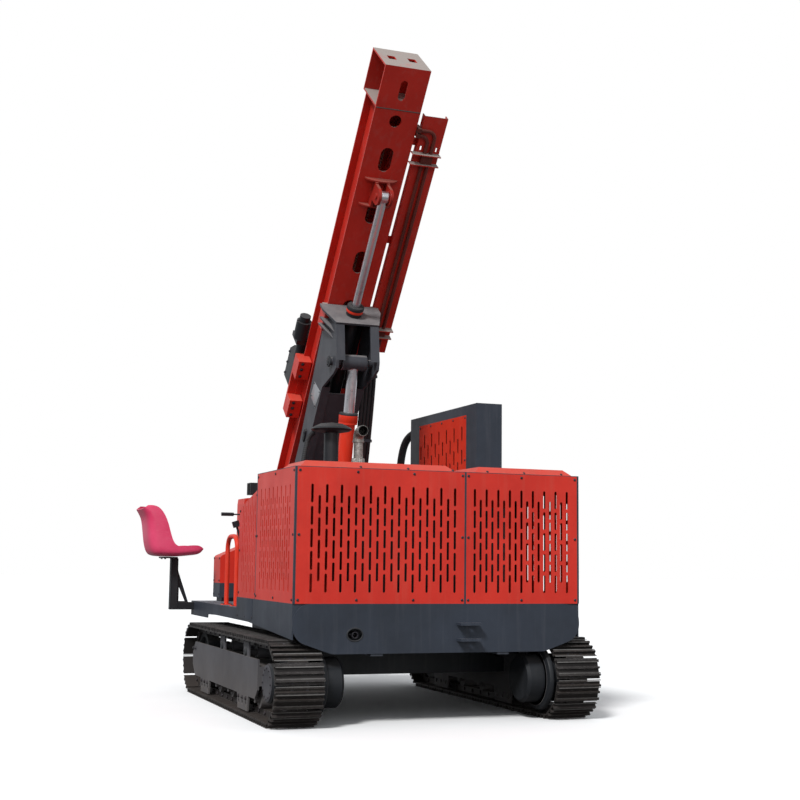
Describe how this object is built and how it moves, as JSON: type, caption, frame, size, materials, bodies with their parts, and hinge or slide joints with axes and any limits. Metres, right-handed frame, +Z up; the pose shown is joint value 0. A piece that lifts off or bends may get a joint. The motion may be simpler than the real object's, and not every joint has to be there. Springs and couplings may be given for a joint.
{
  "type": "core drilling rig",
  "caption": "Tracked core drilling rig with a slotted engine housing, a side seat, and a tilting, sliding mast with a feed carriage and rotary head.",
  "frame": {"origin": "on the ground, under the middle of the whole machine's box with its mast leaning back", "axes": "+X to the machine's right, +Y to its front, where the mast's foot is, and +Z up"},
  "size_m": [2.596, 3.804, 4.7664],
  "materials": {
    "red_paint": "gloss",
    "orange_paint": "gloss",
    "blue_grey_paint": "satin",
    "grey_paint": "satin",
    "track_steel": "worn",
    "chrome_rod": "polished",
    "black_rubber": "matte",
    "pipe_steel": "brushed",
    "pink_plastic": "gloss",
    "black_paint": "satin"
  },
  "bodies": {
    "chassis": {"left_track": "track_steel", "right_track": "track_steel", "left_idler": "grey_paint", "right_idler": "grey_paint", "left_final_drive": "grey_paint", "right_final_drive": "grey_paint", "left_rollers": "grey_paint", "right_rollers": "grey_paint", "left_track_frame": "grey_paint", "right_track_frame": "grey_paint", "cross_frame": "blue_grey_paint", "deck": "blue_grey_paint", "skirt": "blue_grey_paint", "rear_lugs": "blue_grey_paint", "housing_frame": "blue_grey_paint", "rear_panel_left": "red_paint", "rear_panel_right": "red_paint", "left_side_panel": "red_paint", "right_side_panel": "red_paint", "bay_wall": "red_paint", "roof_plate": "blue_grey_paint", "roof_cover_left": "red_paint", "roof_cover_right": "red_paint", "engine_block": "black_paint", "valve_cabinet": "red_paint", "grab_handle": "orange_paint", "control_console": "red_paint", "console_base": "blue_grey_paint", "console_display": "black_paint", "control_levers": "black_paint", "seat_shell": "pink_plastic", "seat_post": "black_paint", "cooler_frame": "blue_grey_paint", "cooler_panel": "orange_paint", "cooler_hoses": "black_rubber", "exhaust": "pipe_steel", "air_intake": "black_paint", "intake_hose": "black_rubber", "pivot_bracket": "grey_paint", "lift_lugs": "grey_paint"},
    "cradle": {"cradle": "grey_paint", "cradle_claws": "red_paint", "slide_barrel": "orange_paint"},
    "mast": {"mast_beam": "red_paint", "mast_head": "red_paint", "slide_rod": "chrome_rod", "rod_clevis": "red_paint", "hose_tray": "red_paint", "tray_pipes": "pipe_steel", "feed_chain": "track_steel", "chain_wheels": "track_steel", "mast_foot": "red_paint"},
    "feed_head": {"head_carriage": "red_paint", "rotary_head": "black_paint", "head_motors": "black_paint"},
    "spindle": {"spindle": "pipe_steel"},
    "lift_barrel": {"lift_barrel": "orange_paint"},
    "lift_rod": {"lift_rod": "chrome_rod"}
  },
  "joints": [
    {"name": "mast_luff", "type": "hinge", "parent": "chassis", "child": "cradle", "pos_m": [0.125, 0.97969, 1.24966], "axis": [-1, 0, 0], "range_deg": [-20, 39.8]},
    {"name": "mast_slide", "type": "slide", "parent": "cradle", "child": "mast", "axis": [0, -0.6401, 0.7683], "range_m": [-0.86, 0]},
    {"name": "head_feed", "type": "slide", "parent": "mast", "child": "feed_head", "axis": [0, -0.6401, 0.7683], "range_m": [-0.85, 1.9]},
    {"name": "spindle_turn", "type": "hinge", "parent": "feed_head", "child": "spindle", "pos_m": [0.125, 0.77114, 2.82005], "axis": [0, -0.6401, 0.7683], "continuous": true},
    {"name": "lift_tilt", "type": "hinge", "parent": "chassis", "child": "lift_barrel", "pos_m": [0.125, 0.26, 0.66], "axis": [-1, 0, 0], "range_deg": [-15.6, 30.55]},
    {"name": "lift_extend", "type": "slide", "parent": "lift_barrel", "child": "lift_rod", "axis": [0, -0.2271, 0.9739], "range_m": [-0.2703, 0.5329]}
  ],
  "couplings": [
    {"joint": "lift_tilt", "follows": "mast_luff", "ratio": 0.755},
    {"joint": "lift_extend", "follows": "mast_luff", "m_per_rad": 0.76}
  ]
}
